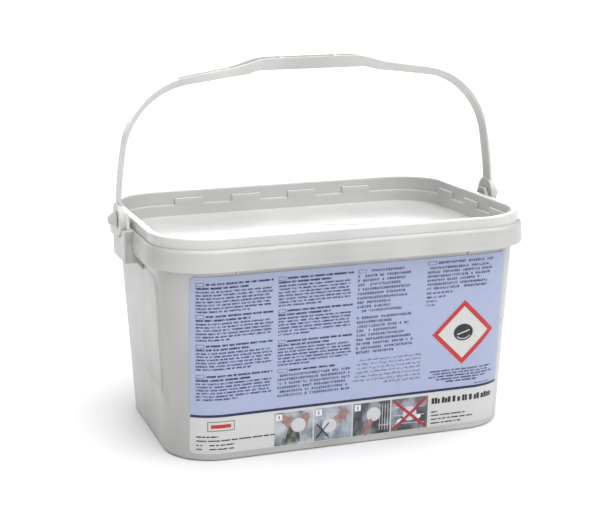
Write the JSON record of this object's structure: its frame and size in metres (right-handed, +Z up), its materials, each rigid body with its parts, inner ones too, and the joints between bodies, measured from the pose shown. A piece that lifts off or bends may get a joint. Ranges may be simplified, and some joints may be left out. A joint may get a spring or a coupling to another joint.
{
  "type": "oven rinse tablet pack",
  "caption": "Rectangular plastic pail with rounded corners, a recessed clip-on lid, a swinging carry handle and a blue label, filled with round cleaning tablets.",
  "frame": {"origin": "middle of the base, on the surface that the pail stands on", "axes": "+X runs along the pail through the handle's pivots, -Y faces out of the labelled wall, +Z is up"},
  "size_m": [0.2958, 0.197, 0.262],
  "materials": {
    "white_plastic": "satin",
    "handle_plastic": "satin",
    "label_white": "satin",
    "label_blue": "satin",
    "label_navy": "satin",
    "label_red": "satin",
    "label_dark": "satin",
    "label_picture": "satin",
    "tablet": "matte"
  },
  "bodies": {
    "pail": {"pail": "white_plastic", "label_sheet": "label_white", "label_blue_field": "label_blue", "label_rule": "label_navy", "symbol_frame": "label_red", "symbol_tablet": "label_dark", "picture_tablets": "label_white", "picture_cross": "label_red", "picture_1": "label_picture", "picture_2": "label_picture", "picture_3": "label_picture", "picture_4": "label_picture", "tablet_layer_1": "tablet", "tablet_layer_2": "tablet", "tablet_layer_3": "tablet", "tablet_layer_4": "tablet"},
    "lid": {"lid": "white_plastic"},
    "bail": {"bail_handle": "handle_plastic"}
  },
  "joints": [
    {"name": "lid_lift", "type": "slide", "parent": "pail", "child": "lid", "axis": [0, 0, 1], "range_m": [0, 0.047]},
    {"name": "handle_swing", "type": "hinge", "parent": "pail", "child": "bail", "pos_m": [0, 0, 0.155], "axis": [1, 0, 0], "range_deg": [-82, 82]}
  ]
}
